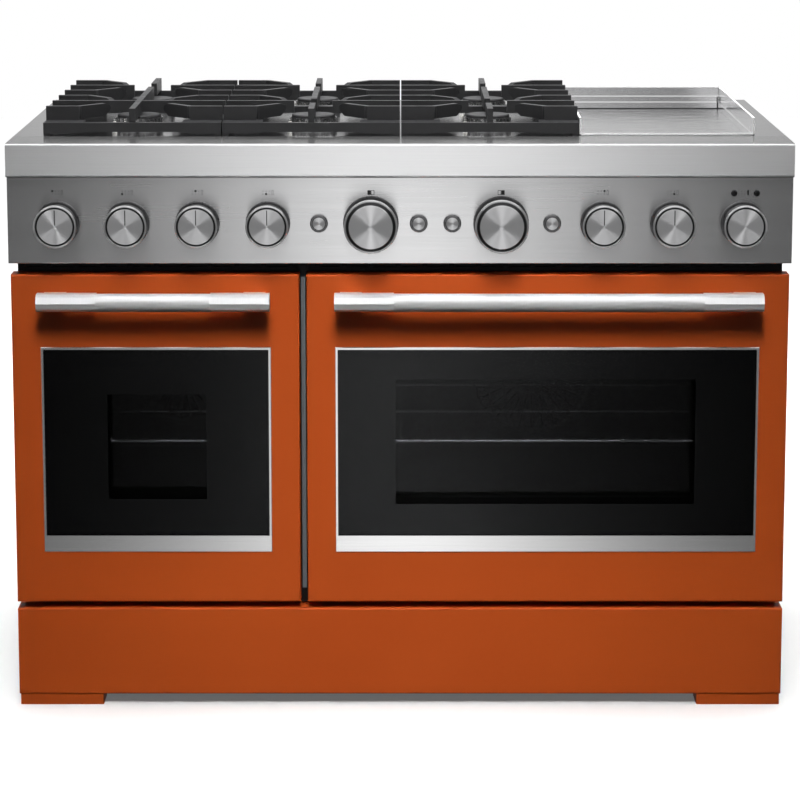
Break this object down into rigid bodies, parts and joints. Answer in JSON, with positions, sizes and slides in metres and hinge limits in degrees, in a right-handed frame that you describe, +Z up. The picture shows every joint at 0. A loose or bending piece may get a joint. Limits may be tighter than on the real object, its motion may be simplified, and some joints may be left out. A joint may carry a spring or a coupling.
{
  "type": "gas range",
  "caption": "Freestanding wide gas range with cast grates, a griddle, front knobs and buttons, and two drop-down oven doors.",
  "frame": {"origin": "middle of the footprint, on the floor under the feet", "axes": "+Z up, the front with the doors and knobs faces -Y, +X to the right seen from the front"},
  "size_m": [1.216, 0.745, 0.943],
  "materials": {
    "stainless": "brushed",
    "orange_enamel": "satin",
    "cast_iron": "matte",
    "dark_enamel": "gloss",
    "dark_glass": "polished",
    "black_frame": "matte",
    "galvanised": "dull",
    "zinc_steel": "plated",
    "chrome_wire": "polished",
    "knob_metal": "spun",
    "burner_aluminium": "cast",
    "wool": "fibrous",
    "gasket_rubber": "matte",
    "brass": "machined",
    "black_plastic": "matte",
    "lens": "gloss"
  },
  "bodies": {
    "range_body": {"side_panels": "stainless", "rear_panel": "galvanised", "base_frame": "galvanised", "leveling_legs": "zinc_steel", "front_frame": "black_frame", "kick_panel": "orange_enamel", "front_feet": "orange_enamel", "vent_and_divider_trim": "stainless", "insulation": "wool", "tube_burners": "zinc_steel", "door_gaskets": "gasket_rubber", "control_panel": "stainless", "control_bezels": "stainless", "indicator_lenses": "lens", "gas_manifold": "brass", "oven_controls": "black_plastic", "landing_ledge": "stainless", "cooktop_deck": "stainless", "burner_heads": "burner_aluminium", "burner_caps": "cast_iron", "main_oven_liner": "dark_enamel", "small_oven_liner": "dark_enamel"},
    "main_door": {"main_door_skin": "orange_enamel", "main_door_trim": "stainless", "main_door_glass": "dark_glass", "main_door_liner": "dark_enamel", "main_door_handle": "stainless", "main_door_hinges": "zinc_steel"},
    "small_door": {"small_door_skin": "orange_enamel", "small_door_trim": "stainless", "small_door_glass": "dark_glass", "small_door_liner": "dark_enamel", "small_door_handle": "stainless", "small_door_hinges": "zinc_steel"},
    "grate_left": {"grate_left": "cast_iron"},
    "grate_middle": {"grate_middle": "cast_iron"},
    "grate_right": {"grate_right": "cast_iron"},
    "griddle_tray": {"griddle_tray": "stainless"},
    "valve_stem_1": {"valve_stem_1": "zinc_steel"},
    "knob_1": {"knob_1": "knob_metal"},
    "valve_stem_2": {"valve_stem_2": "zinc_steel"},
    "knob_2": {"knob_2": "knob_metal"},
    "valve_stem_3": {"valve_stem_3": "zinc_steel"},
    "knob_3": {"knob_3": "knob_metal"},
    "valve_stem_4": {"valve_stem_4": "zinc_steel"},
    "knob_4": {"knob_4": "knob_metal"},
    "valve_stem_5": {"valve_stem_5": "zinc_steel"},
    "knob_5": {"knob_5": "knob_metal"},
    "valve_stem_6": {"valve_stem_6": "zinc_steel"},
    "knob_6": {"knob_6": "knob_metal"},
    "valve_stem_7": {"valve_stem_7": "zinc_steel"},
    "knob_7": {"knob_7": "knob_metal"},
    "oven_knob_small": {"oven_knob_small": "knob_metal"},
    "oven_knob_main": {"oven_knob_main": "knob_metal"},
    "button_1": {"button_1": "knob_metal"},
    "button_2": {"button_2": "knob_metal"},
    "button_3": {"button_3": "knob_metal"},
    "button_4": {"button_4": "knob_metal"},
    "main_oven_rack": {"main_oven_rack": "chrome_wire"},
    "small_oven_rack": {"small_oven_rack": "chrome_wire"}
  },
  "joints": [
    {"name": "door_main_hinge", "type": "hinge", "parent": "range_body", "child": "main_door", "pos_m": [0.23, -0.306, 0.183], "axis": [1, 0, 0], "range_deg": [0, 90]},
    {"name": "door_small_hinge", "type": "hinge", "parent": "range_body", "child": "small_door", "pos_m": [-0.3815, -0.306, 0.183], "axis": [1, 0, 0], "range_deg": [0, 90]},
    {"name": "grate_left_lift", "type": "slide", "parent": "range_body", "child": "grate_left", "axis": [0, 0, 1], "range_m": [0, 0.1]},
    {"name": "grate_middle_lift", "type": "slide", "parent": "range_body", "child": "grate_middle", "axis": [0, 0, 1], "range_m": [0, 0.1]},
    {"name": "grate_right_lift", "type": "slide", "parent": "range_body", "child": "grate_right", "axis": [0, 0, 1], "range_m": [0, 0.1]},
    {"name": "griddle_lift", "type": "slide", "parent": "range_body", "child": "griddle_tray", "axis": [0, 0, 1], "range_m": [0, 0.1]},
    {"name": "knob_1_turn", "type": "hinge", "parent": "range_body", "child": "valve_stem_1", "pos_m": [-0.53, -0.3225, 0.775], "axis": [0, -1, 0], "range_deg": [0, 270]},
    {"name": "push_knob_1", "type": "slide", "parent": "valve_stem_1", "child": "knob_1", "axis": [0, 1, 0], "range_m": [0, 0.004], "stiffness_N_per_m": 600},
    {"name": "knob_2_turn", "type": "hinge", "parent": "range_body", "child": "valve_stem_2", "pos_m": [-0.422, -0.3225, 0.775], "axis": [0, -1, 0], "range_deg": [0, 270]},
    {"name": "push_knob_2", "type": "slide", "parent": "valve_stem_2", "child": "knob_2", "axis": [0, 1, 0], "range_m": [0, 0.004], "stiffness_N_per_m": 600},
    {"name": "knob_3_turn", "type": "hinge", "parent": "range_body", "child": "valve_stem_3", "pos_m": [-0.3135, -0.3225, 0.775], "axis": [0, -1, 0], "range_deg": [0, 270]},
    {"name": "push_knob_3", "type": "slide", "parent": "valve_stem_3", "child": "knob_3", "axis": [0, 1, 0], "range_m": [0, 0.004], "stiffness_N_per_m": 600},
    {"name": "knob_4_turn", "type": "hinge", "parent": "range_body", "child": "valve_stem_4", "pos_m": [-0.2045, -0.3225, 0.775], "axis": [0, -1, 0], "range_deg": [0, 270]},
    {"name": "push_knob_4", "type": "slide", "parent": "valve_stem_4", "child": "knob_4", "axis": [0, 1, 0], "range_m": [0, 0.004], "stiffness_N_per_m": 600},
    {"name": "knob_5_turn", "type": "hinge", "parent": "range_body", "child": "valve_stem_5", "pos_m": [0.3135, -0.3225, 0.775], "axis": [0, -1, 0], "range_deg": [0, 270]},
    {"name": "push_knob_5", "type": "slide", "parent": "valve_stem_5", "child": "knob_5", "axis": [0, 1, 0], "range_m": [0, 0.004], "stiffness_N_per_m": 600},
    {"name": "knob_6_turn", "type": "hinge", "parent": "range_body", "child": "valve_stem_6", "pos_m": [0.4215, -0.3225, 0.775], "axis": [0, -1, 0], "range_deg": [0, 270]},
    {"name": "push_knob_6", "type": "slide", "parent": "valve_stem_6", "child": "knob_6", "axis": [0, 1, 0], "range_m": [0, 0.004], "stiffness_N_per_m": 600},
    {"name": "knob_7_turn", "type": "hinge", "parent": "range_body", "child": "valve_stem_7", "pos_m": [0.5305, -0.3225, 0.775], "axis": [0, -1, 0], "range_deg": [0, 270]},
    {"name": "push_knob_7", "type": "slide", "parent": "valve_stem_7", "child": "knob_7", "axis": [0, 1, 0], "range_m": [0, 0.004], "stiffness_N_per_m": 600},
    {"name": "oven_knob_small_turn", "type": "hinge", "parent": "range_body", "child": "oven_knob_small", "pos_m": [-0.045, -0.3225, 0.775], "axis": [0, 1, 0], "range_deg": [0, 300]},
    {"name": "oven_knob_main_turn", "type": "hinge", "parent": "range_body", "child": "oven_knob_main", "pos_m": [0.1565, -0.3225, 0.775], "axis": [0, 1, 0], "range_deg": [0, 300]},
    {"name": "push_button_1", "type": "slide", "parent": "range_body", "child": "button_1", "axis": [0, 1, 0], "range_m": [0, 0.002], "stiffness_N_per_m": 400},
    {"name": "push_button_2", "type": "slide", "parent": "range_body", "child": "button_2", "axis": [0, 1, 0], "range_m": [0, 0.002], "stiffness_N_per_m": 400},
    {"name": "push_button_3", "type": "slide", "parent": "range_body", "child": "button_3", "axis": [0, 1, 0], "range_m": [0, 0.002], "stiffness_N_per_m": 400},
    {"name": "push_button_4", "type": "slide", "parent": "range_body", "child": "button_4", "axis": [0, 1, 0], "range_m": [0, 0.002], "stiffness_N_per_m": 400},
    {"name": "rack_main_slide", "type": "slide", "parent": "range_body", "child": "main_oven_rack", "axis": [0, -1, 0], "range_m": [0, 0.29]},
    {"name": "rack_small_slide", "type": "slide", "parent": "range_body", "child": "small_oven_rack", "axis": [0, -1, 0], "range_m": [0, 0.29]}
  ],
  "couplings": [
    {"joint": "rack_main_slide", "follows": "door_main_hinge", "m_per_rad": 0.18},
    {"joint": "rack_small_slide", "follows": "door_small_hinge", "m_per_rad": 0.18}
  ]
}
